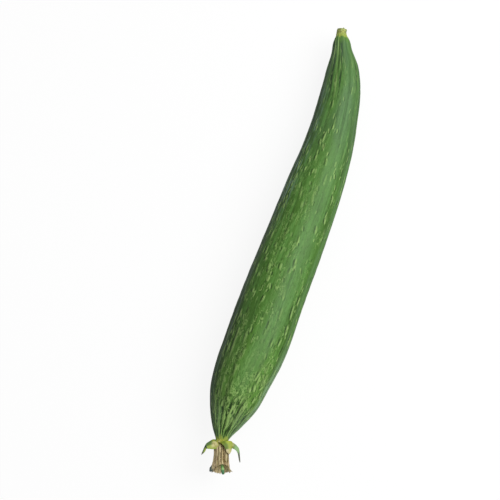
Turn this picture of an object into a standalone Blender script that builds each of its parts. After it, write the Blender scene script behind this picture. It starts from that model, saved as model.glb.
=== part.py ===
"""Sponge gourd (smooth luffa), picked, lying on its side.

Metres, +Z up. +X runs along the fruit, from the cut stalk to the withered flower, +Y is the side that
the fruit bows towards, and Z = 0 is the surface it rests on. The origin is the bottom centre of the
whole object's bounding box.
"""

import math

import bmesh
import bpy
import numpy as np
from mathutils import Matrix, Vector

MM = 0.001
GAP = 0.3 * MM  # clearance between two pieces that touch

# The fruit, at stations along the straight line from the stalk joint to the flower joint, in mm:
# distance along, sideways bow, height of the centreline, radius of the skin, depth of the furrows.
# From 130 to 265 the centreline is as high as the radius, less PRESS, so the belly lies flat there.
PRESS = 0.5  # mm that the skin gives where the fruit's own weight rests
FRUIT_STATIONS = [
    (0, 0.0, 18.4, 4.3, 0.3),
    (4, 1.3, 18.5, 6.2, 0.5),
    (12, 3.7, 18.7, 7.9, 0.6),
    (26, 8.2, 19.0, 12.2, 0.6),
    (45, 11.9, 19.4, 15.4, 0.5),
    (70, 14.2, 19.9, 17.4, 0.4),
    (99, 15.0, 20.6, 19.8, 0.35),
    (130, 13.6, 21.9 - PRESS, 21.9, 0.35),
    (167, 11.2, 23.0 - PRESS, 23.0, 0.35),
    (219, 7.2, 23.8 - PRESS, 23.8, 0.4),
    (265, 4.4, 23.8 - PRESS, 23.8, 0.5),
    (288, 1.9, 23.2, 21.8, 0.7),
    (305, 1.1, 22.9, 18.8, 0.9),
    (321, 0.3, 22.4, 12.3, 0.9),
    (330, 0.3, 22.1, 7.5, 0.6),
    (336, 0.8, 21.9, 4.4, 0.3),
]
RING_COUNT = 46
FURROW_ANGLES = [20, 68, 112, 155, 203, 252, 288, 336]  # degrees round the fruit, from +Y over the top
FACES_PER_RIB = 5

# The cut stalk: distance from the joint and radius, in mm. It has five blunt corners.
STALK_STATIONS = [(0, 4.0), (0.9, 4.0), (2.1, 3.6), (3.4, 3.2), (4.6, 3.1), (5.2, 2.9)]
STALK_CORNERS = 5
STALK_CORNER_HEIGHT = 0.07  # share of the radius
STALK_FACES = 30
STALK_TURN = math.radians(-11)  # the stalk bends back towards the chord
CUT_SLANT = math.radians(9)

# The collar between the fruit and its flower, in mm: distance from the joint and radius up its outside,
# then depth below the rim and radius down into the cup that the petals grow from.
COLLAR_HEIGHT = 2.8
COLLAR_OUTSIDE = [(0, 4.6), (1.0, 4.7), (1.9, 4.9), (2.5, 5.1), (COLLAR_HEIGHT, 4.9)]
COLLAR_CUP = [(0, 4.6), (1.0, 4.3)]
COLLAR_FACES = 30
FLOWER_TURN = math.radians(16)  # the flower turns from the chord towards +Y
FLOWER_RISE = math.radians(8)  # and upwards

# Sepals: distance from the flower's axis, distance along it from the rim and half width, in mm.
SEPAL_STATIONS = [
    (5.6, -1.1, 2.4),
    (7.6, -0.5, 2.8),
    (10.0, 1.5, 2.5),
    (12.1, 4.1, 1.7),
    (13.2, 7.4, 1.0),
    (13.8, 11.2, 0.4),
]
SEPAL_THICKNESS = 0.8
SEPAL_CUP = 0.4  # mm that a sepal's middle lies behind its edges
SEPAL_ROWS, SEPAL_COLUMNS = 9, 5
# each sepal: degrees round the flower from its level side axis, share of the full length,
# degrees that it leans forwards from the stations' path, degrees that its blade twists
SEPALS = [(-4, 1.04, 0, -45), (62, 0.75, 26, 0), (146, 0.95, -5, 55), (214, 0.85, 0, 30), (284, 0.9, 6, -15)]

# Withered petals: distance from the flower's axis and distance along it, in mm.
PETAL_STATIONS = [
    (3.3, -0.4),
    (4.1, 1.3),
    (4.9, 4.0),
    (4.9, 9),
    (5.0, 13.5),
    (5.3, 17),
    (5.7, 20),
    (5.8, 22),
]
PETAL_SPAN = 63  # degrees round the axis
PETAL_THICKNESS = 1.0
# each petal: degrees round the flower, share of the full length, mm that its end turns outwards
PETALS = [(52, 0.76, 0.2), (124, 0.8, 0.2), (196, 0.87, 2.5), (268, 0.91, 0.8), (340, 0.91, 1.1)]
PETAL_FOLD = 0.4  # mm, height of the creases along a petal
PETAL_FOLDS = 2.5
PETAL_ROWS, PETAL_COLUMNS = 11, 8

# The dried style in the middle: distance along the axis and radius, in mm. Its stigma has three lobes.
STYLE_STATIONS = [(-0.7, 1.5), (1, 1.2), (8, 1), (15, 1.1), (17.5, 1.8), (19.5, 2.3), (21, 1.9), (21.7, 0.9)]
STIGMA_START = 16
STIGMA_LOBES = 3
STIGMA_LOBE_HEIGHT = 0.16  # share of the radius
STYLE_FACES = 18

# finish: colour, roughness
FINISHES = {
    "skin": ((0.085, 0.20, 0.045), 0.42),
    "stalk_green": ((0.36, 0.42, 0.11), 0.6),
    "calyx_green": ((0.36, 0.42, 0.10), 0.6),
    "dried_petal": ((0.28, 0.18, 0.09), 0.85),
    "stigma_green": ((0.16, 0.27, 0.12), 0.75),
}


# Curves and frames


def curve_value(stations, column, at):
    """The smooth curve through one column of the stations, read at a distance along the first."""
    table = np.array(stations, float)
    along, value = table[:, 0], table[:, column]
    slope = np.gradient(value, along)
    i = int(np.clip(np.searchsorted(along, at) - 1, 0, len(along) - 2))
    step = along[i + 1] - along[i]
    t = (at - along[i]) / step
    start = (2 * t**3 - 3 * t**2 + 1) * value[i] + (t**3 - 2 * t**2 + t) * step * slope[i]
    end = (3 * t**2 - 2 * t**3) * value[i + 1] + (t**3 - t**2) * step * slope[i + 1]
    return float(start + end)


def resample(points, count):
    """Rows at even steps on the smooth curve through the given rows of numbers."""
    rows = [(i, *point) for i, point in enumerate(points)]
    steps = np.linspace(0, len(points) - 1, count)
    return [[curve_value(rows, column, at) for column in range(1, len(rows[0]))] for at in steps]


def frame_along(origin, direction):
    """A matrix with Z along the direction, X level to its side and Y upwards."""
    along = Vector(direction).normalized()
    side = Vector((-along.y, along.x, 0)).normalized()
    up = along.cross(side)
    turned = Matrix((side, up, along)).transposed().to_4x4()
    return Matrix.Translation(origin) @ turned


def bend(start, end, share):
    """The frame part of the way from one frame to another."""
    turned = start.to_quaternion().slerp(end.to_quaternion(), share)
    place = start.translation.lerp(end.translation, share)
    return Matrix.Translation(place) @ turned.to_matrix().to_4x4()


# Meshes


def ring(place, radius, faces, lobes=0, lobe_height=0):
    """Points round a frame's Z axis, with lobes standing out of the circle. The radius is in mm."""
    points = []
    for i in range(faces):
        angle = 2 * math.pi * i / faces
        out = radius * MM * (1 + lobe_height * math.cos(lobes * angle))
        points.append(place @ Vector((out * math.cos(angle), out * math.sin(angle), 0)))
    return points


def loft(rings):
    """A closed body through rings of points, with a flat face on the first and the last."""
    bm = bmesh.new()
    loops = [[bm.verts.new(point) for point in points] for points in rings]
    for loop, following in zip(loops, loops[1:]):
        for i in range(len(loop)):
            j = (i + 1) % len(loop)
            bm.faces.new((loop[i], loop[j], following[j], following[i]))
    bm.faces.new(reversed(loops[0]))
    bm.faces.new(loops[-1])
    bmesh.ops.recalc_face_normals(bm, faces=bm.faces)
    return bm


def sheet(rows):
    """An open sheet through rows of points."""
    bm = bmesh.new()
    lines = [[bm.verts.new(point) for point in row] for row in rows]
    for line, following in zip(lines, lines[1:]):
        for i in range(len(line) - 1):
            bm.faces.new((line[i], line[i + 1], following[i + 1], following[i]))
    return bm


def finish_material(finish):
    """The Principled material of a finish, made once."""
    found = bpy.data.materials.get(finish)
    if found:
        return found
    made = bpy.data.materials.new(finish)
    made.use_nodes = True
    shader = made.node_tree.nodes["Principled BSDF"]
    colour, roughness = FINISHES[finish]
    shader.inputs["Base Color"].default_value = (*colour, 1)
    shader.inputs["Roughness"].default_value = roughness
    shader.inputs["Metallic"].default_value = 0
    return made


def add_piece(name, bm, finish, thickness=0):
    """One named object of the gourd. A sheet is given its thickness, half on either side, in mm."""
    mesh = bpy.data.meshes.new(name)
    bm.to_mesh(mesh)
    bm.free()
    mesh.shade_smooth()
    mesh.materials.append(finish_material(finish))
    piece = bpy.data.objects.new(name, mesh)
    bpy.context.scene.collection.objects.link(piece)
    if thickness:
        solidify = piece.modifiers.new("thickness", "SOLIDIFY")
        solidify.thickness = thickness * MM
        solidify.offset = 0
        solidify.use_even_offset = True
    return piece


# The fruit


def fruit_centre(along):
    """A point of the fruit's centreline."""
    bow = curve_value(FRUIT_STATIONS, 1, along)
    height = curve_value(FRUIT_STATIONS, 2, along)
    return Vector((along, bow, height)) * MM


def fruit_frame(along):
    """The frame of the fruit's section there, facing the flower."""
    end = FRUIT_STATIONS[-1][0]
    ahead = fruit_centre(min(along + 1, end)) - fruit_centre(max(along - 1, 0))
    return frame_along(fruit_centre(along), ahead)


def rib_profile():
    """Angles round the fruit, each with its share of the furrow's depth: 1 in a furrow, 0 on a rib."""
    profile = []
    next_angles = FURROW_ANGLES[1:] + [FURROW_ANGLES[0] + 360]
    for first, following in zip(FURROW_ANGLES, next_angles):
        for i in range(FACES_PER_RIB):
            across = i / FACES_PER_RIB
            angle = math.radians(first + (following - first) * across)
            profile.append((angle, (1 - math.sin(math.pi * across)) ** 3))
    return profile


def build_fruit():
    profile = rib_profile()
    rings = []
    for i in range(RING_COUNT):
        even = i / (RING_COUNT - 1)
        eased = (1 - math.cos(math.pi * even)) / 2  # closer rings where the ends round in
        along = FRUIT_STATIONS[-1][0] * (even + eased) / 2
        radius = curve_value(FRUIT_STATIONS, 3, along)
        depth = curve_value(FRUIT_STATIONS, 4, along)
        frame = fruit_frame(along)
        points = []
        for angle, share in profile:
            out = (radius - depth * share) * MM
            point = frame @ Vector((out * math.cos(angle), out * math.sin(angle), 0))
            point.z = max(point.z, 0)  # flat where the belly rests
            points.append(point)
        rings.append(points)
    return add_piece("fruit", loft(rings), "skin")


# The cut stalk


def build_stalk():
    joint = fruit_frame(0)
    backwards = joint @ Matrix.Rotation(math.pi, 4, "Y") @ Matrix.Translation((0, 0, GAP))
    rings = []
    for along, radius in STALK_STATIONS:
        share = along / STALK_STATIONS[-1][0]
        turn = Matrix.Rotation(STALK_TURN * share, 4, "Y")
        slant = Matrix.Rotation(CUT_SLANT * share**2, 4, "X")
        place = backwards @ turn @ Matrix.Translation((0, 0, along * MM)) @ slant
        rings.append(ring(place, radius, STALK_FACES, STALK_CORNERS, STALK_CORNER_HEIGHT * share))
    return add_piece("cut_stalk", loft(rings), "stalk_green")


# The flower's collar, sepals, petals and style


def flower_frames():
    """The frame on the fruit's end and the frame on the collar's rim, where the flower starts."""
    base = fruit_frame(FRUIT_STATIONS[-1][0]) @ Matrix.Translation((0, 0, GAP))
    level = math.cos(FLOWER_RISE)
    direction = Vector((level * math.cos(FLOWER_TURN), level * math.sin(FLOWER_TURN), math.sin(FLOWER_RISE)))
    middle = (base.to_3x3() @ Vector((0, 0, 1)) + direction).normalized()
    rim = frame_along(base.translation + middle * COLLAR_HEIGHT * MM, direction)
    return base, rim


def build_collar():
    base, rim = flower_frames()
    rings = []
    for along, radius in COLLAR_OUTSIDE:
        rings.append(ring(bend(base, rim, along / COLLAR_HEIGHT), radius, COLLAR_FACES))
    for depth, radius in COLLAR_CUP:
        rings.append(ring(rim @ Matrix.Translation((0, 0, -depth * MM)), radius, COLLAR_FACES))
    return add_piece("calyx_collar", loft(rings), "calyx_green")


def build_sepal(number):
    rim = flower_frames()[1]
    degrees, reach, lean, twist = SEPALS[number]
    root_out, root_along, root_half = SEPAL_STATIONS[0]
    root = rim @ Matrix.Rotation(math.radians(degrees), 4, "Z") @ Matrix.Translation(
        Vector((root_out, 0, root_along)) * MM
    )
    leaning = root @ Matrix.Rotation(-math.radians(lean), 4, "Y")
    rows = []
    stations = resample(SEPAL_STATIONS, SEPAL_ROWS)
    for i, (out, along, half) in enumerate(stations):
        share = i / (SEPAL_ROWS - 1)
        middle = Matrix.Translation(Vector((out - root_out, 0, along - root_along)) * reach * MM)
        turned = Matrix.Rotation(math.radians(twist) * min(1, 2 * share), 4, "X")
        row = []
        for across in np.linspace(-1, 1, SEPAL_COLUMNS):
            side = across * half
            hollow = SEPAL_CUP * across**2 * half / root_half
            hug = (root_out - math.sqrt(root_out**2 - side**2)) * (1 - share) ** 4  # round the collar
            row.append(leaning @ middle @ turned @ (Vector((-hug, side, hollow)) * MM))
        rows.append(row)
    return add_piece(f"sepal_{number + 1}", sheet(rows), "calyx_green", SEPAL_THICKNESS)


def build_petal(number):
    rim = flower_frames()[1]
    degrees, reach, curl = PETALS[number]
    turned = rim @ Matrix.Rotation(math.radians(degrees), 4, "Z")
    root = PETAL_STATIONS[0][1]
    tip = PETAL_STATIONS[-1][1]
    rows = []
    for out, along in resample(PETAL_STATIONS, PETAL_ROWS):
        share = (along - root) / (tip - root)
        out += curl * share**5
        along = root + (along - root) * reach
        row = []
        for across in np.linspace(-0.5, 0.5, PETAL_COLUMNS):
            angle = math.radians(PETAL_SPAN * across)
            fold = PETAL_FOLD * min(1, 3 * share) * math.cos(2 * math.pi * PETAL_FOLDS * across)
            place = Vector(((out + fold) * math.cos(angle), (out + fold) * math.sin(angle), along))
            row.append(turned @ (place * MM))
        rows.append(row)
    return add_piece(f"petal_{number + 1}", sheet(rows), "dried_petal", PETAL_THICKNESS)


def build_style():
    rim = flower_frames()[1]
    rings = []
    for along, radius in STYLE_STATIONS:
        place = rim @ Matrix.Translation((0, 0, along * MM))
        lobe_height = STIGMA_LOBE_HEIGHT if along > STIGMA_START else 0
        rings.append(ring(place, radius, STYLE_FACES, STIGMA_LOBES, lobe_height))
    return add_piece("style", loft(rings), "stigma_green")


# The whole gourd


def remove_everything():
    for obj in list(bpy.data.objects):
        bpy.data.objects.remove(obj, do_unlink=True)


def centre_on_origin(pieces):
    """Hangs the pieces on an empty, placed so that their box stands centred on the origin."""
    bpy.context.view_layer.update()
    depsgraph = bpy.context.evaluated_depsgraph_get()
    corners = []
    for piece in pieces:
        corners += [corner[:] for corner in piece.evaluated_get(depsgraph).bound_box]
    low, high = np.min(corners, axis=0), np.max(corners, axis=0)
    gourd = bpy.data.objects.new("gourd", None)
    gourd.location = (-(low[0] + high[0]) / 2, -(low[1] + high[1]) / 2, -low[2])
    bpy.context.scene.collection.objects.link(gourd)
    for piece in pieces:
        piece.parent = gourd


def build_gourd():
    remove_everything()
    pieces = [build_fruit(), build_stalk(), build_collar()]
    pieces += [build_sepal(number) for number in range(len(SEPALS))]
    pieces += [build_petal(number) for number in range(len(PETALS))]
    pieces.append(build_style())
    centre_on_origin(pieces)


build_gourd()
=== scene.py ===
import math
from types import SimpleNamespace

import bpy
import numpy as np
from mathutils import Matrix, Vector, noise


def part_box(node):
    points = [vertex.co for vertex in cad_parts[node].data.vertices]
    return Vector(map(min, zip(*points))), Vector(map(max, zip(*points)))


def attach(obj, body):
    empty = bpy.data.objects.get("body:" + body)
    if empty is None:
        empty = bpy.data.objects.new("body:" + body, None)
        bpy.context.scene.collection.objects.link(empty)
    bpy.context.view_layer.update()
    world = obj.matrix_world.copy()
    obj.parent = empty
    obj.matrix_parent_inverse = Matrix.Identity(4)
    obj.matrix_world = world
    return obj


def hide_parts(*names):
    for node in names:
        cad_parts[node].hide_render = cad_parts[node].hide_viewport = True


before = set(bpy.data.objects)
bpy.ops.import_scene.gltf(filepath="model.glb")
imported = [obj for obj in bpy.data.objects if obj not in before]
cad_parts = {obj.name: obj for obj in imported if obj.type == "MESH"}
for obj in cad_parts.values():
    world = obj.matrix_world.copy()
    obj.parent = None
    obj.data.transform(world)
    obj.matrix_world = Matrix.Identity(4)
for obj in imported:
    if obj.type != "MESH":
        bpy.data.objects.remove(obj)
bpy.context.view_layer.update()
mm = 0.001
tau = 2 * math.pi
print("frame loaded:", len(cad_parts), "nodes")


# node helpers, for shader trees and geometry trees alike


def feed(socket, value):
    if isinstance(value, bpy.types.NodeSocket):
        socket.id_data.links.new(value, socket)
    elif value is not None:
        socket.default_value = value


# a new node in the tree that the given sockets are in
def nodeFor(kind, *values):
    tree = next(value.id_data for value in values if isinstance(value, bpy.types.NodeSocket))
    return tree.nodes.new(kind)


def calc(operation, *values, clamp=False):
    made = nodeFor("ShaderNodeMath", *values)
    made.operation = operation
    made.use_clamp = clamp
    for socket, value in zip(made.inputs, values):
        feed(socket, value)
    return made.outputs[0]


def product(first, *others):
    for other in others:
        first = calc("MULTIPLY", first, other)
    return first


def vectorCalc(operation, first, second=None, scale=None):
    made = nodeFor("ShaderNodeVectorMath", first)
    made.operation = operation
    feed(made.inputs[0], first)
    feed(made.inputs[1], second)
    if scale is not None:
        feed(made.inputs["Scale"], scale)
    return made.outputs["Vector"]


def split(vector):
    made = nodeFor("ShaderNodeSeparateXYZ", vector)
    feed(made.inputs[0], vector)
    return made.outputs


def combine(x, y, z=0.0):
    made = nodeFor("ShaderNodeCombineXYZ", x, y, z)
    for socket, value in zip(made.inputs, (x, y, z)):
        feed(socket, value)
    return made.outputs[0]


# smooth step from low at start to high at end
def ramp(value, start, end, low=0.0, high=1.0):
    made = nodeFor("ShaderNodeMapRange", value)
    made.interpolation_type = "SMOOTHSTEP"
    names = ("Value", "From Min", "From Max", "To Min", "To Max")
    for name, number in zip(names, (value, start, end, low, high)):
        feed(made.inputs[name], number)
    return made.outputs[0]


# 1 from full to last, fading to 0 at start and at gone
def between(value, start, full, last, gone):
    return product(ramp(value, start, full), ramp(value, gone, last))


# how far two numbers are from each other
def apart(first, second):
    return calc("ABSOLUTE", calc("SUBTRACT", first, second))


# 3-D noise from 0 to 1 on a vector that is multiplied by stretch first
def cloud(vector, stretch=(1, 1, 1), shift=0.0, detail=2.0, roughness=0.5):
    stretched = vectorCalc("MULTIPLY", vector, stretch)
    made = nodeFor("ShaderNodeTexNoise", vector)
    feed(made.inputs["Vector"], vectorCalc("ADD", stretched, (shift, shift * 1.7, -shift)))
    for name, number in (("Scale", 1.0), ("Detail", detail), ("Roughness", roughness)):
        made.inputs[name].default_value = number
    return made.outputs[0]


def blend(share, first, second):
    made = nodeFor("ShaderNodeMix", share, first, second)
    made.data_type = "RGBA"
    for number, value in ((0, share), (6, first), (7, second)):
        feed(made.inputs[number], value)
    return made.outputs[2]


# coats over a colour, one after the other, each given by where it lies, its strength and its colour
def paint(colour, coats):
    for share, strength, tone in coats:
        colour = blend(share if strength == 1 else product(share, strength), colour, tone)
    return colour


# a colour as pickers show it, 0 to 255, turned into the linear one that sockets take
def srgb(red, green, blue):
    shares = [value / 255 for value in (red, green, blue)]
    return tuple(s / 12.92 if s <= 0.04045 else ((s + 0.055) / 1.055) ** 2.4 for s in shares) + (1.0,)


def attribute(tree, name, output="Vector"):
    made = tree.nodes.new("ShaderNodeAttribute")
    made.attribute_name = name
    return made.outputs[output]


def newMaterial(name, roughness):
    made = bpy.data.materials.new(name)
    made.use_nodes = True
    shader = made.node_tree.nodes["Principled BSDF"]
    shader.inputs["Roughness"].default_value = roughness
    return made, made.node_tree, shader


def addBump(shader, height, distance, strength):
    made = nodeFor("ShaderNodeBump", height)
    made.inputs["Strength"].default_value = strength
    made.inputs["Distance"].default_value = distance
    feed(made.inputs["Height"], height)
    feed(shader.inputs["Normal"], made.outputs[0])


# curves, frames and meshes


# the smooth curve through one column of the stations, read along the first column
def curveValue(stations, column, at):
    table = np.array(stations, float)
    along, value = table[:, 0], table[:, column]
    slope = np.gradient(value, along)
    i = int(np.clip(np.searchsorted(along, at) - 1, 0, len(along) - 2))
    step = along[i + 1] - along[i]
    t = (at - along[i]) / step
    start = (2 * t**3 - 3 * t**2 + 1) * value[i] + (t**3 - 2 * t**2 + t) * step * slope[i]
    end = (3 * t**2 - 2 * t**3) * value[i + 1] + (t**3 - t**2) * step * slope[i + 1]
    return float(start + end)


def resample(points, count):
    rows = [(i, *point) for i, point in enumerate(points)]
    steps = np.linspace(0, len(points) - 1, count)
    return [[curveValue(rows, column, at) for column in range(1, len(rows[0]))] for at in steps]


# Z along the direction, X level to its side and Y upwards
def frameAlong(origin, direction):
    along = Vector(direction).normalized()
    side = Vector((-along.y, along.x, 0)).normalized()
    up = along.cross(side)
    turned = Matrix((side, up, along)).transposed().to_4x4()
    return Matrix.Translation(origin) @ turned


# a turn about an axis, in degrees
def spin(degrees, axis):
    return Matrix.Rotation(math.radians(degrees), 4, axis)


# a move in mm
def move(x, y, z):
    return Matrix.Translation(Vector((x, y, z)) * mm)


# the angle of each point of a ring, with its cosine and sine
def ringAngles(around):
    for j in range(around):
        angle = tau * j / around
        yield angle, math.cos(angle), math.sin(angle)


def bend(start, end, share):
    turned = start.to_quaternion().slerp(end.to_quaternion(), share)
    return Matrix.Translation(start.translation.lerp(end.translation, share)) @ turned.to_matrix().to_4x4()


# smooth noise from about -1 to 1
def wobble(x, y, z=0.0, seed=0.0):
    return noise.noise(Vector((x + seed * 3.1, y - seed * 1.3, z + seed)))


# a mesh object in metres; values are point attributes of one or three numbers each
def meshObject(name, points, faces, material, values=None):
    mesh = bpy.data.meshes.new(name)
    edges = [face for face in faces if len(face) == 2]
    mesh.from_pydata([tuple(p) for p in points], edges, [face for face in faces if len(face) > 2])
    for key, numbers in (values or {}).items():
        table = np.array(numbers, np.float32)
        kind = "FLOAT_VECTOR" if table.ndim == 2 else "FLOAT"
        made = mesh.attributes.new(key, kind, "POINT")
        made.data.foreach_set("vector" if table.ndim == 2 else "value", table.ravel())
    if material:
        mesh.materials.append(material)
    mesh.shade_smooth()
    made = bpy.data.objects.new(name, mesh)
    bpy.context.scene.collection.objects.link(made)
    return made


# rings joined into a tube, with both of its ends closed
def tubeFaces(rings, around):
    faces = []
    for i in range(rings - 1):
        for j in range(around):
            k = (j + 1) % around
            a, b = i * around, (i + 1) * around
            faces.append((a + j, a + k, b + k, b + j))
    faces.append(tuple(reversed(range(around))))
    faces.append(tuple((rings - 1) * around + j for j in range(around)))
    return faces


# a closed plate: the front grid, the back grid turned round, and walls between their edges
def plateFaces(rows, columns):
    back = rows * columns
    faces = []
    for i in range(rows - 1):
        for j in range(columns - 1):
            a = i * columns + j
            b = a + columns
            faces.append((a, a + 1, b + 1, b))
            faces.append((back + a, back + b, back + b + 1, back + a + 1))
    for j in range(columns - 1):
        faces.append((back + j, back + j + 1, j + 1, j))
        a = (rows - 1) * columns + j
        faces.append((a, a + 1, back + a + 1, back + a))
    for i in range(rows - 1):
        a, b = i * columns, (i + 1) * columns
        faces.append((a, b, back + b, back + a))
        a, b = a + columns - 1, b + columns - 1
        faces.append((back + a, back + b, b, a))
    return faces


# a grid's points moved out and in by half of its thickness
def plateSides(grid, normals, thick):
    half = normals * thick[..., None] / 2
    return np.concatenate([grid + half, grid - half]).reshape(-1, 3)


def gridNormals(grid):
    down, across = np.gradient(grid, axis=0), np.gradient(grid, axis=1)
    normals = np.cross(across, down)
    return normals / np.maximum(np.linalg.norm(normals, axis=2, keepdims=True), 1e-9)


# turns the faces of a closed mesh outwards
def outwards(obj):
    mesh = obj.data
    volume = 0.0
    for face in mesh.polygons:
        corners = [mesh.vertices[i].co for i in face.vertices]
        for b, c in zip(corners[1:], corners[2:]):
            volume += corners[0].dot(b.cross(c))
    if volume < 0:
        mesh.flip_normals()
    return obj


# an empty geometry tree with named inputs, given as a dictionary of their kinds
def geometryTree(name, sizes):
    tree = bpy.data.node_groups.new(name, "GeometryNodeTree")
    for label, kind in {"Geometry": "Geometry", **sizes}.items():
        tree.interface.new_socket(label, in_out="INPUT", socket_type="NodeSocket" + kind)
    tree.interface.new_socket("Geometry", in_out="OUTPUT", socket_type="NodeSocketGeometry")
    return tree, tree.nodes.new("NodeGroupInput").outputs, tree.nodes.new("NodeGroupOutput").inputs


def geo(kind, **inputs):
    made = nodeFor(kind, *inputs.values())
    for name, value in inputs.items():
        feed(made.inputs[name.replace("_", " ")], value)
    return made


def named(tree, name, kind="FLOAT"):
    made = tree.nodes.new("GeometryNodeInputNamedAttribute")
    made.data_type = kind
    made.inputs["Name"].default_value = name
    return made.outputs["Attribute"]


def keepVector(geometry, name, value):
    made = nodeFor("GeometryNodeStoreNamedAttribute", geometry)
    made.data_type = "FLOAT_VECTOR"
    made.inputs["Name"].default_value = name
    feed(made.inputs["Geometry"], geometry)
    feed(made.inputs["Value"], value)
    return made.outputs[0]


def endTree(geometry, material, output):
    smooth = geo("GeometryNodeSetShadeSmooth", Geometry=geometry)
    real = geo("GeometryNodeRealizeInstances", Geometry=smooth.outputs[0])
    painted = geo("GeometryNodeSetMaterial", Geometry=real.outputs[0], Material=material)
    feed(output[0], painted.outputs[0])


# evaluates a geometry tree on an object and keeps the plain mesh that it makes
def runTree(obj, tree, settings):
    modifier = obj.modifiers.new("tree", "NODES")
    modifier.node_group = tree
    for socket in tree.interface.items_tree:
        if socket.in_out == "INPUT" and socket.name in settings:
            modifier[socket.identifier] = settings[socket.name]
    depsgraph = bpy.context.evaluated_depsgraph_get()
    made = bpy.data.meshes.new_from_object(obj.evaluated_get(depsgraph))
    obj.modifiers.remove(modifier)
    made.name = obj.name
    old, obj.data = obj.data, made
    bpy.data.meshes.remove(old)
    return obj


def place(piece, slot, *nodes):
    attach(piece, "root")
    if nodes:
        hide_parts(*nodes)
    return piece


# the fruit

fruit = {
    # along, sideways bow, height of the middle, radius, furrow depth, in mm
    "stations": [
        (0, 0.0, 18.4, 4.3, 0.3),
        (4, 1.3, 18.5, 6.2, 0.5),
        (12, 3.7, 18.7, 7.9, 0.6),
        (26, 8.2, 19.0, 12.2, 0.6),
        (45, 11.9, 19.4, 15.4, 0.5),
        (70, 14.2, 19.9, 17.4, 0.4),
        (99, 15.0, 20.6, 19.8, 0.35),
        (130, 13.6, 21.4, 21.9, 0.35),
        (167, 11.2, 22.5, 23.0, 0.35),
        (219, 7.2, 23.3, 23.8, 0.4),
        (265, 4.4, 23.3, 23.8, 0.5),
        (288, 1.9, 23.2, 21.8, 0.7),
        (305, 1.1, 22.9, 18.8, 0.9),
        (321, 0.3, 22.4, 12.3, 0.9),
        (330, 0.3, 22.1, 7.5, 0.6),
        (336, 0.8, 21.9, 4.4, 0.3),
    ],
    "furrows": [20, 68, 112, 155, 203, 252, 288, 336],  # degrees, from +Y over the top
    "furrowLines": [0.9, 0.3, 0.2, 1.0, 0.8, 0.5, 0.6, 0.8],  # how dark the lines down each one are
    "rings": 320,
    "perRib": 36,  # points from one furrow to the next
    "solidRings": 46,
    "solidPerRib": 5,
    "mapRadius": 24.0,  # mm, the radius at which the rind's pattern is laid out
    "wave": 0.36,  # mm, broad swells of the skin
    "ripple": 0.09,  # mm, its lengthwise grain
    # stripes along it: degrees from the top, half width, strength
    "fleckRows": [
        (50, 16, 1.0), (13, 11, 0.9), (-7, 5, 0.5), (-50, 8, 0.5), (-88, 10, 0.7),
        (-122, 12, 0.9), (-160, 10, 0.8), (84, 9, 0.9), (120, 11, 0.9), (158, 10, 0.9),
    ],
    "flowerRows": [(-42, 26, 0.9), (150, 30, 0.7)],  # more flecks, near the flower only
    "sheenStripe": [(-26, 19, 1.0)],  # the broadest pale one, a painted sheen
    "bend": 7.5,  # mm that it moves towards the top near the flower
    "paleStripes": [(-68, 9, 1.0), (-105, 8, 1.0), (64, 7, 1.0), (140, 9, 1.0), (-142, 8, 1.0)],
    "seams": [(-28, 4, 1.0), (-56, 4, 0.8)],  # dark lines that end at the flower
    "besideSeams": [(-38, 4, 1.0), (-66, 4, 1.0)],  # and the light ones beside them, painted highlights
    "rim": [(-78, 10, 1.0)],  # a painted highlight along the edge of its lower half
    "rib": [(66, 6, 1.0)],  # a light grey-blue stripe on the other side, a painted reflection
    "besideRib": [(54, 3.5, 1.0)],  # and its dark line
    "flowerRidge": 0.32,  # mm, the ridges that run together at the flower
    "neckRidge": 0.16,
    "grooveDepth": 0.16,  # mm, the thin line down a furrow
    "fleckHeight": 0.12,
}
length = fruit["stations"][-1][0]
ribCorners = fruit["furrows"] + [fruit["furrows"][0] + 360]


def fruitCentre(along):
    bow, height = (curveValue(fruit["stations"], column, along) for column in (1, 2))
    return Vector((along, bow, height)) * mm


def fruitFrame(along):
    ahead = fruitCentre(min(along + 1, length)) - fruitCentre(max(along - 1, 0))
    return frameAlong(fruitCentre(along), ahead)


# distances along the fruit, closer where its ends round in
def ringPlaces(count):
    even = np.arange(count) / (count - 1)
    return length * (even + (1 - np.cos(math.pi * even)) / 2) / 2


# angle in degrees, share of the furrow's depth, mm to the nearest furrow, and how dark its line is
def ribProfile(perRib):
    rows = []
    lines = fruit["furrowLines"] + fruit["furrowLines"][:1]
    for number, (first, following) in enumerate(zip(ribCorners, ribCorners[1:])):
        for i in range(perRib):
            across = i / perRib
            gap = min(across, 1 - across) * math.radians(following - first) * fruit["mapRadius"]
            line = lines[number if across < 0.5 else number + 1]
            furrow = (1 - math.sin(math.pi * across)) ** 3
            rows.append((first + (following - first) * across, furrow, gap, line))
    return rows


# how far the fruit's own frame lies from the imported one, from rings like the solid's
def findShift():
    points = []
    for along in ringPlaces(fruit["solidRings"]):
        radius, depth = (curveValue(fruit["stations"], column, along) for column in (3, 4))
        here = fruitFrame(along)
        for angle, share, *others in ribProfile(fruit["solidPerRib"]):
            out = (radius - depth * share) * mm
            turn = math.radians(angle)
            points.append(here @ Vector((out * math.cos(turn), out * math.sin(turn), 0)))
    lowest, highest = np.min(points, axis=0), np.max(points, axis=0)
    low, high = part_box("fruit")
    across = [(low[i] + high[i] - lowest[i] - highest[i]) / 2 for i in (0, 1)]
    return Vector((*across, 0))


shift = Matrix.Translation(findShift())
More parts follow.
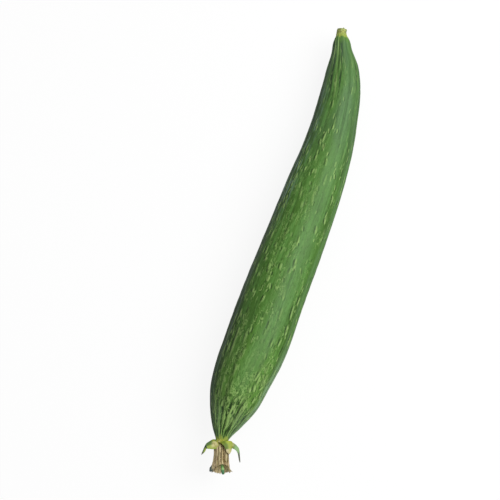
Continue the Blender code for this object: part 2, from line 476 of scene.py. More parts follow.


# one loose layer of dashes: the light dash, and the dark one beside it, a painted shadow of the raised
# dash
def dashes(across, along, rows, layer):
    wide, long = layer["cell"]
    seed = layer["seed"]
    u = calc("MULTIPLY_ADD", across, 1 / wide, seed)
    v = calc("MULTIPLY_ADD", along, 1 / long, seed * 1.7)
    cells = nodeFor("ShaderNodeTexVoronoi", u, v)
    cells.voronoi_dimensions = "2D"
    cells.inputs["Scale"].default_value = 1.0
    cells.inputs["Randomness"].default_value = layer["loose"]
    feed(cells.inputs["Vector"], combine(u, v))
    middle = split(cells.outputs["Position"])
    dice = split(cells.outputs["Color"])
    side = product(calc("SUBTRACT", u, middle[0]), wide)
    ahead = product(calc("SUBTRACT", v, middle[1]), long)
    lean = calc("MULTIPLY_ADD", dice[0], layer["lean"], layer["slant"] - layer["lean"] / 2)
    side = calc("ADD", side, product(ahead, lean))
    halfLength = calc("MULTIPLY_ADD", dice[1], layer["size"][1] * 0.7, layer["size"][1] * 0.3)
    halfWidth = calc("MULTIPLY_ADD", dice[0], layer["size"][0] * 0.4, layer["size"][0] * 0.6)
    endwise = calc("POWER", calc("ABSOLUTE", calc("DIVIDE", ahead, halfLength)), 2.5)
    few, many = layer["chance"]
    chance = calc("MULTIPLY_ADD", rows, many - few, few)
    shown = ramp(calc("SUBTRACT", dice[2], chance), 0.03, -0.03)
    masks = []
    for aside, width in ((0.0, 1.0), (layer["darkAside"], 0.8)):
        off = calc("DIVIDE", calc("DIVIDE", apart(side, aside), halfWidth), width)
        reach = calc("ADD", calc("POWER", off, 2), endwise)
        masks.append(product(ramp(reach, 1.25, 0.25), shown))
    return masks


# cell: mm round and along that one dash has to itself, size: its half width and half length in mm
# lean: how much its slope varies, slant: its slope on average
# chance: how many cells hold a dash away from the rows and on them
# darkAside: mm from a dash to its dark one, its painted shadow
# grows: where along the fruit the layer starts and is full, and its strength before that
# atFlower: its strength near the flower
dashLayers = [
    {"cell": (6.0, 13.0), "seed": 3.3, "loose": 0.9, "size": (1.3, 5.9), "lean": 0.3, "slant": 0.03,
     "chance": (0.14, 0.95), "darkAside": 1.5, "grows": (20.0, 110.0, 0.45), "atFlower": 0.6},
    {"cell": (9.0, 26.0), "seed": 23.1, "loose": 0.9, "size": (1.2, 13.0), "lean": 0.10, "slant": 0.03,
     "chance": (0.05, 0.34), "darkAside": 1.6, "grows": (50.0, 120.0, 0.2), "atFlower": 0.1},
    {"cell": (6.2, 8.5), "seed": 31.7, "loose": 1.0, "size": (1.8, 4.0), "lean": 1.3, "slant": 0.05,
     "chance": (0.50, 0.75), "darkAside": 1.9, "grows": (262.0, 300.0, 0.0), "atFlower": 1.0},
    {"cell": (3.8, 7.0), "seed": 11.9, "loose": 1.0, "size": (0.85, 3.4), "lean": 0.6, "slant": 0.0,
     "chance": (0.16, 0.58), "darkAside": -1.2, "grows": (20.0, 110.0, 0.45), "atFlower": 0.7},
]


# mm round the fruit from the top, mm along it, and how far into the flower end and the neck
def rindMap(straight):
    x, y, along = split(straight)[:3]
    across = product(calc("ARCTAN2", x, y), fruit["mapRadius"])
    flower = ramp(along, 296, 321)
    neck = ramp(along, 85, 15)
    return across, along, flower, neck


# 1 along wandering stripes, each given by its degrees from the top, half width and strength
def stripes(straight, across, places):
    wander = calc("MULTIPLY_ADD", cloud(straight, (0.02, 0.02, 0.011), 51), 26, -13)
    angle = calc("MULTIPLY_ADD", across, math.degrees(1 / fruit["mapRadius"]), wander)
    total = None
    for middle, half, share in places:
        bump = ramp(apart(angle, middle), half * 1.3, half * 0.5, 0, share)
        total = bump if total is None else calc("MAXIMUM", total, bump)
    return total


# ridges from -1 to 1 that run together at the flower, and looser ones on the neck
def endRidges(straight, across, flower, neck):
    drift = cloud(straight, (0.10, 0.10, 0.035), 5)
    patchy = ramp(cloud(straight, (0.13, 0.13, 0.03), 6), 0.38, 0.62)
    angle = calc("DIVIDE", across, fruit["mapRadius"])
    waves = cloud(straight, (0.16, 0.16, 0.10), 15)
    phase = calc("MULTIPLY_ADD", waves, 9, product(angle, 19))
    many = product(calc("SINE", phase), flower, calc("MAXIMUM", patchy, 0.6))
    phase = calc("MULTIPLY_ADD", drift, 6, product(angle, 13))
    few = product(calc("SINE", phase), neck, calc("MAXIMUM", patchy, 0.4))
    return many, few


def fruitTree():
    tree, given, out = geometryTree("fruitSkin", {
        "Section": "Object", "Wave": "Float", "Ripple": "Float", "Flower Ridge": "Float",
        "Neck Ridge": "Float", "Groove Depth": "Float", "Fleck Height": "Float", "Material": "Material"})
    path = geo("GeometryNodeMeshToCurve", Mesh=given["Geometry"])
    level = geo("GeometryNodeSetCurveNormal", Curve=path.outputs[0])
    level.mode = "Z_UP"
    section = geo("GeometryNodeObjectInfo", Object=given["Section"])
    sectionCurve = geo("GeometryNodeMeshToCurve", Mesh=section.outputs["Geometry"])
    swept = geo("GeometryNodeCurveToMesh", Curve=level.outputs[0], Scale=named(tree, "skinRadius"),
                Profile_Curve=sectionCurve.outputs[0], Fill_Caps=True)
    turn, along = named(tree, "turn"), named(tree, "along")
    radius = fruit["mapRadius"]
    x, y = (product(calc(function, turn), radius) for function in ("SINE", "COSINE"))
    straight = combine(x, y, along)
    across, along, flower, neck = rindMap(straight)
    furrow = product(named(tree, "furrowDepth"), named(tree, "furrowShare"), -1)
    swell = calc("SUBTRACT", cloud(straight, (0.11, 0.11, 0.014), 1), 0.5)
    grain = calc("SUBTRACT", cloud(straight, (0.55, 0.55, 0.04), 2, 3), 0.5)
    many, few = endRidges(straight, across, flower, neck)
    groove = furrowLine(straight, named(tree, "furrowGap"), named(tree, "furrowInk"))
    rows = stripes(straight, across, fruit["fleckRows"])
    fleck = dashes(across, along, rows, dashLayers[0])[0]
    belly = ramp(calc("COSINE", turn), -0.97, -0.80)  # nothing stands out where it rests
    relief = furrow
    for share, size in ((product(swell, 2), "Wave"), (product(grain, 2), "Ripple"),
                        (many, "Flower Ridge"), (few, "Neck Ridge")):
        relief = calc("MULTIPLY_ADD", share, given[size], relief)
    relief = calc("SUBTRACT", relief, product(groove, given["Groove Depth"]))
    relief = calc("MULTIPLY_ADD", fleck, given["Fleck Height"], relief)
    calm = ramp(along, length - 1, length - 8)
    relief = product(relief, calc("MULTIPLY_ADD", calm, 0.8, 0.2))
    position = tree.nodes.new("GeometryNodeInputPosition").outputs[0]
    middle = named(tree, "middle", "FLOAT_VECTOR")
    outward = vectorCalc("NORMALIZE", vectorCalc("SUBTRACT", position, middle))
    capped = product(calc("MINIMUM", relief, product(belly, 9)), mm)
    moved = vectorCalc("ADD", position, vectorCalc("SCALE", outward, scale=capped))
    x, y, z = split(moved)[:3]
    flat = combine(x, y, calc("MAXIMUM", z, 0))
    body = keepVector(swept.outputs[0], "straight", straight)
    shaped = geo("GeometryNodeSetPosition", Geometry=body, Position=flat)
    endTree(shaped.outputs[0], given["Material"], out)
    return tree


# thin dark lines on either side of a furrow's middle, coming and going along it
def furrowLine(straight, gap, ink):
    along = split(straight)[2]
    spread = ramp(along, 190, 320, 1.1, 4.2)
    wander = ramp(cloud(straight, (0.06, 0.06, 0.022), 7), 0.36, 0.60, 0.25, 1)
    off = apart(gap, product(wander, spread))
    strength = ramp(cloud(straight, (0.045, 0.045, 0.016), 9), 0.40, 0.58)
    strength = calc("MAXIMUM", strength, ramp(along, 230, 300, 0, 0.9))
    return product(ramp(off, 0.95, 0.15), strength, ink)


rind = {
    "deep": srgb(60, 98, 30),
    "middle": srgb(78, 122, 46),
    "light": srgb(94, 144, 66),
    # pale stripes, and the painted sheen
    "pale": srgb(102, 148, 84),
    "bloomAndReflection": srgb(104, 132, 108),  # the waxy film on the neck and at the flower end, and a painted reflection on the rib
    "film": srgb(130, 160, 142),  # its thin streaks on the flank
    "fresh": srgb(106, 154, 58),  # beside the stalk and the flower
    "joint": srgb(172, 188, 84),
    "fleck": srgb(158, 194, 112),
    "dark": srgb(28, 54, 14),  # lines, painted shade in the ridges' valleys and beside the wriggles, and the painted shadow beside a fleck
    "side": srgb(38, 62, 22),  # painted shade on the flank and above the flower
    # painted highlight along the edge of the lower half
    "rim": srgb(136, 172, 126),
    "crestHighlight": srgb(160, 196, 112),  # painted highlight on the ridge tops and beside the seams
    "roughness": 0.50,
}


# what the layers of the rind are laid out by
def rindFields(tree):
    straight = attribute(tree, "straight")
    across, along, flower, neck = rindMap(straight)
    rows = stripes(straight, across, fruit["fleckRows"])
    lowRows = stripes(straight, across, fruit["flowerRows"])
    lowRows = product(lowRows, ramp(along, 275, 300))
    # the painted sheen, a pale stripe that bends towards the top near the flower
    bent = calc("SUBTRACT", across, ramp(along, 235, 292, 0, fruit["bend"]))
    wide = stripes(straight, bent, fruit["sheenStripe"])
    many, few = endRidges(straight, across, flower, neck)
    return SimpleNamespace(
        straight=straight, across=across, along=along, wide=wide, many=many, few=few,
        angle=calc("DIVIDE", across, fruit["mapRadius"]),
        rows=calc("MAXIMUM", rows, lowRows),
        # pale stripes together with the painted sheen
        pale=calc("MAXIMUM", wide, stripes(straight, across, fruit["paleStripes"])),
        patches=cloud(straight, (0.06, 0.06, 0.018), 20, 3),
        streaks=cloud(straight, (0.42, 0.42, 0.028), 21, 3, 0.6),
        mottle=cloud(straight, (0.9, 0.9, 0.3), 22, 3, 0.6))


# the coats of the rind, from the lowest up: first its streaks, pale stripes with the painted sheen, and
# mottling
def groundCoats(at):
    streaky = ramp(at.along, 30, 90, 0.4, 0.75)
    return [
        (product(ramp(at.streaks, 0.45, 0.66), streaky), 1, rind["light"]),
        (ramp(at.along, 230, 310), 0.5, rind["fresh"]),
        # pale stripes and the painted sheen, fading near the flower
        (product(at.pale, ramp(at.along, 320, 290)), 0.32, rind["pale"]),
        (ramp(at.mottle, 0.48, 0.32), 0.6, rind["deep"]),
        (ramp(at.mottle, 0.53, 0.68), 0.5, rind["light"]),
    ]


# painted highlight on the ridges' tops and painted shade in their valleys, at both ends
def ridgeCoats(at):
    chopped = ramp(cloud(at.straight, (0.35, 0.35, 0.16), 38, 2), 0.38, 0.54, 0.35, 1)
    clear = calc("MULTIPLY_ADD", at.pale, -0.7, 1)
    return [
        (product(ramp(at.many, 0.1, 0.7), chopped), 0.9, rind["crestHighlight"]),
        (ramp(at.many, -0.1, -0.6), 0.9, rind["dark"]),
        (product(ramp(at.few, -0.1, -0.6), clear), 0.9, rind["dark"]),
        (product(ramp(at.few, 0.15, 0.7), clear), 0.6, rind["crestHighlight"]),
    ]


# broken wriggling lines, a light one beside each dark one; the dark one is a painted shade that makes the
# light one look raised
def crinkles(straight, stretch, seed, thick):
    height = cloud(straight, stretch, seed, 2.5, 0.65)
    return [ramp(apart(height, level), 0.035 * thick, 0.005 * thick)
            for level in (0.5 + 0.03 * thick, 0.5 - 0.03 * thick)]


# fine wriggling lines all along, and coarser ones near the flower, each with its painted shade
def crinkleCoats(at):
    scrawled = ramp(cloud(at.straight, (0.2, 0.2, 0.09), 33, 2), 0.42, 0.58)
    scrawled = product(scrawled, ramp(at.along, 60, 290, 0.15, 1))
    smooth = product(at.pale, ramp(at.along, 314, 292), -0.7)
    scrawled = product(scrawled, calc("ADD", smooth, 1))
    squarer = ramp(cloud(at.straight, (0.09, 0.09, 0.05), 36, 2), 0.46, 0.56, 0, 0.6)
    squarer = product(squarer, between(at.along, 262, 296, 320, 330))
    scuff = product(ramp(calc("ABSOLUTE", at.angle), 0.42, 0.28), ramp(apart(at.along, 309), 14, 8))
    squarer = calc("MAXIMUM", squarer, scuff)
    coats = []
    for stretch, seed, thick, share, deep in (((0.38, 0.38, 0.12), 31.0, 1.0, scrawled, 0.65),
                                              ((0.22, 0.22, 0.22), 37.0, 1.5, squarer, 0.52)):
        light, dark = crinkles(at.straight, stretch, seed, thick)
        coats.append((product(dark, share), deep, rind["dark"]))
        coats.append((product(light, share), 0.75, rind["fleck"]))
    return coats


# the flank painted darker, a painted shade, and thin streaks on it towards the neck
def flankCoats(at):
    # painted shade: the flank away from the light is painted darker
    side = between(at.angle, 0.7, 1.25, 1.6, 2.5)
    thin = cloud(at.straight, (0.6, 0.6, 0.07), 47, 2)
    flank = product(between(at.angle, 0.5, 0.9, 1.6, 2), between(at.along, 35, 60, 140, 190))
    return [
        (product(side, ramp(at.along, 90, 200, 0.5, 0.85)), 1, rind["side"]),
        (product(ramp(thin, 0.53, 0.60), flank), 0.7, rind["film"]),
        (product(ramp(thin, 0.47, 0.40), flank), 0.8, rind["dark"]),
    ]


# the single lines along it: dark seams with painted highlights beside them, a painted highlight along the
# lower edge, and a painted reflection on a rib beside its dark line
def lineCoats(at):
    lower = product(ramp(at.along, 170, 250), ramp(at.streaks, 0.36, 0.52, 0.5, 1))
    toFlower = ramp(at.along, 298, 312)
    # the light lines beside the seams are painted highlights
    rows = (("seams", toFlower, 0.75, "dark"), ("besideSeams", toFlower, 0.6, "crestHighlight"),
            ("rim", ramp(at.along, 245, 280), 0.7, "rim"),
            # the rib's grey-blue stripe is a painted reflection
            ("rib", lower, 0.6, "bloomAndReflection"), ("besideRib", lower, 0.6, "dark"))
    return [(product(stripes(at.straight, at.across, fruit[name]), where), strength, rind[tone])
            for name, where, strength, tone in rows]


# the waxy film at both ends
def bloomCoats(at):
    neck = product(ramp(at.along, 160, 30), ramp(at.patches, 0.66, 0.40, 0.08, 0.28))
    end = product(ramp(at.along, 304, 322), ramp(at.patches, 0.40, 0.60, 0, 0.25))
    return [(neck, 1, rind["bloomAndReflection"]), (end, 1, rind["bloomAndReflection"])]


# the coats of all dashes, and how high they stand
def dashCoats(at):
    # fewer dashes where the painted sheen lies
    wide = product(at.wide, between(at.along, 240, 275, 298, 314))
    calm = calc("MULTIPLY_ADD", wide, -0.8, 1)
    cluster = ramp(cloud(at.straight, (0.07, 0.07, 0.017), 41), 0.38, 0.52, 0.4, 1)
    cluster = calc("MAXIMUM", cluster, ramp(at.along, 240, 290, 0, 0.9))
    under = ramp(calc("ABSOLUTE", at.angle), 1.35, 1.85, 1, 0.5)
    coats, height = [], 0.0
    for layer in dashLayers:
        start, full, least = layer["grows"]
        crowd = product(ramp(at.along, start, full, least, 1), ramp(at.along, 336, 328),
                        ramp(at.along, 270, 300, 1, layer["atFlower"]), calm)
        light, dark = dashes(at.across, at.along, at.rows, layer)
        broken = cloud(at.straight, (0.5, 0.5, 0.22), layer["seed"])
        light = product(light, ramp(broken, 0.34, 0.56, 0.3, 1), crowd, cluster, under)
        # the dark dash is a painted shadow beside the raised light one
        dark = product(dark, crowd, cluster)
        bright = ramp(at.along, 240, 300, 0.7, 0.85)
        coats += [(dark, 0.72, rind["dark"]), (product(light, bright), 1, rind["fleck"])]
        height = calc("ADD", height, calc("SUBTRACT", light, dark))
    return coats, height


# painted shade on one side above the flower, and fresh where the stalk and the flower join on
def endCoats(at):
    # painted shade on the side away from the light, above the flower
    shadeAboveFlower = product(between(at.angle, 0.08, 0.4, 1.8, 2.5), between(at.along, 222, 250, 304, 322))
    ragged = calc("MULTIPLY_ADD", cloud(at.straight, (0.12, 0.12, 0.1), 44), 8, -4)
    fromStalk = calc("MULTIPLY_ADD", split(at.straight)[0], 0.06, at.along)
    fromStalk = calc("ADD", fromStalk, ragged)
    toFlower = calc("ADD", calc("SUBTRACT", length, at.along), ragged)
    return [
        (shadeAboveFlower, 0.34, rind["side"]),
        (ramp(fromStalk, 8.5, 4.5), 0.5, rind["fresh"]),
        (ramp(fromStalk, 3.4, 1.4), 0.9, rind["joint"]),
        (ramp(toFlower, 3.2, 0.8), 0.8, rind["joint"]),
    ]


def rindMaterial():
    material, tree, shader = newMaterial("gourdRind", rind["roughness"])
    at = rindFields(tree)
    colour = blend(ramp(at.patches, 0.36, 0.60), rind["deep"], rind["middle"])
    for coats in (groundCoats, ridgeCoats, crinkleCoats, flankCoats, lineCoats, bloomCoats):
        colour = paint(colour, coats(at))
    gap, ink = (attribute(tree, name, "Fac") for name in ("furrowGap", "furrowInk"))
    line = furrowLine(at.straight, gap, ink)
    coats, dashHeight = dashCoats(at)
    colour = paint(colour, [(line, 0.8, rind["dark"]), *coats, *endCoats(at)])
    feed(shader.inputs["Base Color"], colour)
    rough = calc("MULTIPLY_ADD", at.mottle, 0.22, rind["roughness"] - 0.11)
    feed(shader.inputs["Roughness"], rough)
    shader.inputs["Specular IOR Level"].default_value = 0.26
    shader.inputs["Sheen Weight"].default_value = 0.12
    shader.inputs["Sheen Roughness"].default_value = 0.35
    shader.inputs["Sheen Tint"].default_value = (0.72, 0.86, 0.9, 1)
    height = product(line, -0.6)
    for value, share in ((dashHeight, 0.5), (at.mottle, 0.35), (at.streaks, 0.5)):
        height = calc("MULTIPLY_ADD", value, share, height)
    addBump(shader, height, 0.25 * mm, 0.8)
    return material


def makeFruit():
    places = ringPlaces(fruit["rings"])
    middles = [shift @ fruitCentre(along) for along in places]
    radii, depths = (
        [curveValue(fruit["stations"], column, along) for along in places] for column in (3, 4))
    edges = [(i, i + 1) for i in range(len(middles) - 1)]
    body = meshObject("fruitSkin", middles, edges, None, {
        "skinRadius": np.array(radii) * mm, "furrowDepth": depths, "along": places, "middle": middles})
    angles, shares, gaps, inks = zip(*ribProfile(fruit["perRib"]))
    angles = np.radians(angles)
    points = [(-math.cos(a), -math.sin(a), 0) for a in angles]
    turns = (angles - math.pi / 2 + math.pi) % tau - math.pi  # 0 at the top
    edges = [(i, (i + 1) % len(points)) for i in range(len(points))]
    section = meshObject("section", points, edges, None, {
        "turn": turns, "furrowShare": shares, "furrowGap": gaps, "furrowInk": inks})
    runTree(body, fruitTree(), {
        "Section": section, "Wave": fruit["wave"], "Ripple": fruit["ripple"],
        "Flower Ridge": fruit["flowerRidge"], "Neck Ridge": fruit["neckRidge"],
        "Groove Depth": fruit["grooveDepth"], "Fleck Height": fruit["fleckHeight"],
        "Material": rindMaterial()})
    bpy.data.objects.remove(section)
    print("fruit skin:", len(body.data.polygons), "faces")
    return place(outwards(body), "skin", "fruit")


makeFruit()


# the cut stalk

stalk = {
    # along and radius in mm, and for the rings of the cut their rise above its end
    "stations": [(-0.8, 4.35), (0, 4.3), (0.9, 4.2), (2.1, 4.0), (3.4, 3.85), (4.9, 3.8), (5.5, 3.7)],
    "cutFace": [
        (0.12, 3.55), (0.16, 3.25), (0.02, 2.6), (-0.04, 2.0), (-0.02, 1.4), (-0.12, 0.8), (-0.2, 0.35),
    ],
    "length": 5.55,
    "gap": 0.3,  # mm to the fruit
    "turn": -11,  # degrees that it bends aside
    "slant": -12,  # degrees that its cut is slanted
    "corners": 5,
    "cornerHeight": 0.05,
    "fibreHeight": 0.05,
    "roughness": 0.10,
    "cutRelief": 0.28,
    "spike": 0.9,  # mm, a torn fibre that stands up on the rim of the cut
    "spikeAt": 104,
    "spikeWidth": 9,
    "rows": 26,
    "around": 120,
    "bundleRings": [(2.15, 10), (1.15, 5)],  # radius and number of the fibre bundles in the cut
    "bundleSize": 0.34,
    "bundleHeight": 0.5,  # share of their size
}


def stalkMaterial():
    material, tree, shader = newMaterial("stalkGreen", 0.55)
    where = attribute(tree, "stalkMap")  # mm round it, mm along it, 1 on the cut face
    along, cut = split(where)[1:3]
    spots = cloud(where, (1.1, 0.8, 0), 3, 3, 0.65)
    fibres = cloud(where, (2.2, 0.25, 0), 4, 2)
    ring = ramp(apart(calc("MULTIPLY_ADD", fibres, 1.2, along), 3.4), 0.35, 0.1)
    colour = blend(ramp(along, 0.3, 3.6), srgb(158, 182, 84), srgb(140, 166, 90))
    colour = paint(colour, [
        (ramp(fibres, 0.45, 0.60), 0.7, srgb(212, 214, 112)),
        (ramp(fibres, 0.44, 0.34), 0.6, srgb(132, 158, 84)),
        (ramp(spots, 0.48, 0.58), 0.8, srgb(122, 108, 54)),
        (product(ring, ramp(spots, 0.42, 0.5)), 0.8, srgb(92, 98, 40)),
        (cut, 0.6, srgb(176, 172, 100)),
    ])
    feed(shader.inputs["Base Color"], colour)
    addBump(shader, calc("ADD", fibres, spots), 0.15 * mm, 0.7)
    return material


def bundleMaterial():
    material, tree, shader = newMaterial("stalkBundle", 0.5)
    across = split(tree.nodes.new("ShaderNodeTexCoord").outputs["Object"])[0]
    grain = cloud(across, (900, 900, 900))
    feed(shader.inputs["Base Color"], blend(grain, srgb(112, 128, 60), srgb(150, 160, 84)))
    return material


# the cut ends of the stalk's water vessels: small domes on the given points
def bundleTree(turn):
    tree, given, out = geometryTree(
        "stalkBundles", {"Radius": "Float", "Height": "Float", "Material": "Material"})
    dome = geo("GeometryNodeMeshIcoSphere", Radius=given["Radius"], Subdivisions=3)
    size = named(tree, "size")
    scale = combine(size, size, product(size, given["Height"]))
    spread = geo("GeometryNodeInstanceOnPoints", Points=given["Geometry"], Instance=dome.outputs[0])
    feed(spread.inputs["Scale"], scale)
    spread.inputs["Rotation"].default_value = turn
    endTree(spread.outputs[0], given["Material"], out)
    return tree


def makeBundles(end):
    places, sizes = [], []
    for ringRadius, count in stalk["bundleRings"]:
        for i in range(count):
            angle = tau * (i + 0.25 * wobble(i, ringRadius)) / count
            point = Vector((ringRadius * math.cos(angle), ringRadius * math.sin(angle), 0))
            places.append(end @ (point * mm))
            sizes.append(1 + 0.4 * wobble(i * 1.7, ringRadius, 1.0))
    bundles = meshObject("stalkBundles", places, [], None, {"size": sizes})
    runTree(bundles, bundleTree(end.to_euler()), {
        "Radius": stalk["bundleSize"] * mm, "Height": stalk["bundleHeight"], "Material": bundleMaterial()})
    return place(bundles, "stalk")


def stalkFrame(back, along, share):
    turn = spin(stalk["turn"] * share, "Y")
    return back @ turn @ move(0, 0, along) @ spin(stalk["slant"] * share**2, "X")


def makeStalk():
    back = shift @ fruitFrame(0) @ spin(180, "Y") @ move(0, 0, stalk["gap"])
    around, points, where = stalk["around"], [], []
    rows = resample(stalk["stations"], stalk["rows"])
    edge = len(rows)
    rows += [(rows[-1][0] + lift, radius) for lift, radius in stalk["cutFace"]]
    for i, (along, radius) in enumerate(rows):
        share = max(0.0, min(1.0, along / stalk["length"]))
        here = stalkFrame(back, along, share)
        for angle, x, y in ringAngles(around):
            corner = stalk["cornerHeight"] * share * math.cos(stalk["corners"] * angle)
            fibre = stalk["fibreHeight"] * math.sin(23 * angle + 3 * wobble(x, y))
            rough = stalk["roughness"] * wobble(2 * x, 2 * y, along * 0.6, 4.0)
            out = radius * (1 + corner) + (fibre + rough) * min(1, radius / 2)
            lift = stalk["cutRelief"] * wobble(1.3 * out * x, 1.3 * out * y, 0, 8.0) * (i > edge - 4)
            if edge - 4 < i < edge + 3:
                off = (math.degrees(angle) - stalk["spikeAt"]) / stalk["spikeWidth"]
                lift += stalk["spike"] * math.exp(-(off**2))
            points.append(here @ (Vector((out * x, out * y, lift)) * mm))
            where.append((4 * angle if i < edge else out * x, along, 1.0 if i > edge else 0.0))
    faces = tubeFaces(len(rows), around)
    body = meshObject("stalkStub", points, faces, stalkMaterial(), {"stalkMap": where})
    makeBundles(stalkFrame(back, rows[-1][0] + 0.02, 1))
    return place(outwards(body), "stalk", "cut_stalk")


makeStalk()
print("stalk made")


# the flower's collar and sepals

# degrees that it bends aside and upwards, its gap to the fruit and the collar's length in mm
flower = {"turn": 16, "rise": 8, "gap": 0.3, "collar": 2.8}


# the frames at the collar's root and at its rim
def flowerFrames():
    base = shift @ fruitFrame(length) @ move(0, 0, flower["gap"])
    turn, rise = math.radians(flower["turn"]), math.radians(flower["rise"])
    level = math.cos(rise)
    direction = Vector((level * math.cos(turn), level * math.sin(turn), math.sin(rise)))
    middle = (base.to_3x3() @ Vector((0, 0, 1)) + direction).normalized()
    return base, frameAlong(base.translation + middle * flower["collar"] * mm, direction)


base, rim = flowerFrames()

calyx = {
    "collarOutside": [(-0.8, 4.4), (0, 4.6), (1.0, 4.9), (1.9, 5.25), (2.5, 5.35), (2.8, 5.0)],
    "collarCup": [(0.05, 4.65), (0.5, 4.4), (1.0, 4.2), (1.1, 2.5), (1.1, 0.6)],
    "around": 140,
    "ribs": 10,
    "ribHeight": 0.14,
    "swell": 0.7,  # mm that its rim swells towards each sepal
    "lip": 0.45,  # mm, how uneven its rim is
    "bumps": (0.22, 0.12),  # mm, coarse ones and fine ones
    # paths of the sepals: mm from the flower's axis and along it from the rim, half width
    "arched": [(5.6, -1.1, 3.1), (7.6, -0.5, 3.0), (10.0, 1.5, 2.5), (12.1, 4.1, 1.7), (13.2, 7.4, 1.0),
               (13.8, 11.2, 0.4)],
    "hanging": [(5.6, -1.0, 3.1), (8.0, 0.4, 2.9), (11.0, 2.4, 2.3), (13.0, 5.0, 1.5), (14.0, 9.6, 0.7),
                (14.6, 15.0, 0.5)],
    "jointed": [(4.7, -0.3, 3.8), (6.3, 0.6, 4.0), (8.6, 1.9, 3.4), (11.0, 3.1, 2.3), (12.5, 4.6, 1.1),
                (13.4, 7.2, 0.9), (15.2, 10.4, 0.3)],
    "folded": [(5.5, -1.2, 4.6), (7.3, -0.4, 4.8), (8.4, 1.8, 3.9), (8.6, 4.2, 2.9), (8.5, 6.4, 2.3),
               (8.6, 8.4, 1.2)],
    # path: the one above that it follows, reach: share of that path's length
    # round: degrees round the flower, swing: degrees more at its root
    # lean, slant, twist: degrees outwards, aside and about its own line
    # blunt: 1 for a round end, dry: how far its dry tip reaches back
    # darkSide: the side of its dark edge, a painted shade, pale: how creamy its end is
    "sepals": [
        {"path": "hanging", "round": 4, "swing": 0, "reach": 0.92, "lean": 0, "slant": 0, "twist": 58,
         "blunt": 0, "dry": 0.3, "darkSide": 0, "pale": 0.0},
        {"path": "folded", "round": 52, "swing": 0, "reach": 1.0, "lean": 8, "slant": 12, "twist": 8,
         "blunt": 1, "dry": 0.02, "darkSide": 0, "pale": 1.0},
        {"path": "jointed", "round": 153, "swing": -26, "reach": 1.0, "lean": -4, "slant": 0, "twist": -78,
         "blunt": 0, "dry": 0.10, "darkSide": 1, "pale": 0.0},
        {"path": "arched", "round": 248, "swing": 0, "reach": 0.7, "lean": 6, "slant": 0, "twist": -20,
         "blunt": 0, "dry": 0.2, "darkSide": -1, "pale": 0.0},
        {"path": "arched", "round": 290, "swing": 0, "reach": 0.9, "lean": 6, "slant": 0, "twist": -15,
         "blunt": 0, "dry": 0.2, "darkSide": 1, "pale": 0.0},
    ],
    "rows": 46,
    "columns": 21,
    # mm, each sepal's sheet: its thickness, its hollow, the rise of its edges towards the end,
    # how crumpled it is, the keel down its back, and how uneven its end is
    "thickness": 0.8,
    "cup": 0.4,
    "curl": 0.35,
    "crumple": 0.2,
    "keel": 0.22,
    "torn": 0.5,
    "unevenWidth": 0.12,  # share of the width
}


def calyxMaterial():
    material, tree, shader = newMaterial("calyxGreen", 0.6)
    across, share, tips = split(attribute(tree, "bladeMap"))[:3]  # -1 to 1, 0 to 1, how dry
    where = attribute(tree, "bladePlace")  # mm
    darkSide, pale = (attribute(tree, name, "Fac") for name in ("darkSide", "pale"))
    veins = combine(product(across, 4), product(share, 1.5))
    veins = cloud(veins, (1, 1, 1), 2, 3)
    spots = cloud(where, (0.35, 0.35, 0.35), 6, 3, 0.6)
    patches = cloud(where, (0.16, 0.16, 0.16), 8, 2)
    middle = ramp(calc("ABSOLUTE", calc("ADD", across, 0.1)), 0.80, 0.25)
    cream = product(middle, between(share, 0.02, 0.06, 0.26, 0.42))
    cream = product(cream, calc("SUBTRACT", 0.8, pale, clamp=True))
    # a painted shade along one edge of the sepal
    edge = ramp(product(across, darkSide), -0.3, 0.2)
    edge = product(edge, ramp(share, 0.20, 0.36))
    plain = calc("SUBTRACT", 1, calc("ABSOLUTE", darkSide))
    mint = product(ramp(share, 0.28, 0.42), calc("MULTIPLY_ADD", pale, -0.8, 0.9), plain)
    front = product(pale, ramp(share, 0.04, 0.18))
    creamEnd = product(pale, ramp(share, 0.58, 0.70), ramp(patches, 0.62, 0.40, 0.4, 1))
    joint = product(darkSide, ramp(apart(share, 0.65), 0.08, 0.03))
    colour = blend(ramp(veins, 0.36, 0.62), srgb(132, 156, 54), srgb(168, 188, 84))
    colour = paint(colour, [
        (ramp(patches, 0.45, 0.62), 0.6, srgb(172, 164, 62)),
        (cream, 1, srgb(218, 208, 154)),
        (edge, 0.85, srgb(72, 110, 62)),
        (mint, 1, srgb(152, 190, 132)),
        (product(front, ramp(across, 0.4, 0)), 0.34, srgb(212, 220, 84)),
        # the darker olive half of the front sepal is a painted shade
        (product(front, ramp(across, 0.1, 0.5)), 0.45, srgb(96, 112, 30)),
        (creamEnd, 1, srgb(234, 216, 172)),
        (joint, 0.85, srgb(40, 58, 50)),
        (ramp(tips, 0.35, 0.65), 0.9, srgb(84, 84, 68)),
        (ramp(spots, 0.56, 0.70), 0.5, srgb(140, 120, 58)),
    ])
    feed(shader.inputs["Base Color"], colour)
    shader.inputs["Specular IOR Level"].default_value = 0.3
    addBump(shader, calc("ADD", veins, spots), 0.2 * mm, 0.8)
    return material


# the frames, distances along, and radii of the collar's rings, and whether each is outside its cup
def collarRows():
    rows = []
    for along, radius in resample(calyx["collarOutside"], 18):
        here = bend(base, rim, max(0.0, along / flower["collar"]))
        rows.append((here @ move(0, 0, min(0, along)), along, radius, True))
    for depth, radius in calyx["collarCup"]:
        rows.append((rim @ move(0, 0, -depth), flower["collar"], radius, False))
    return rows


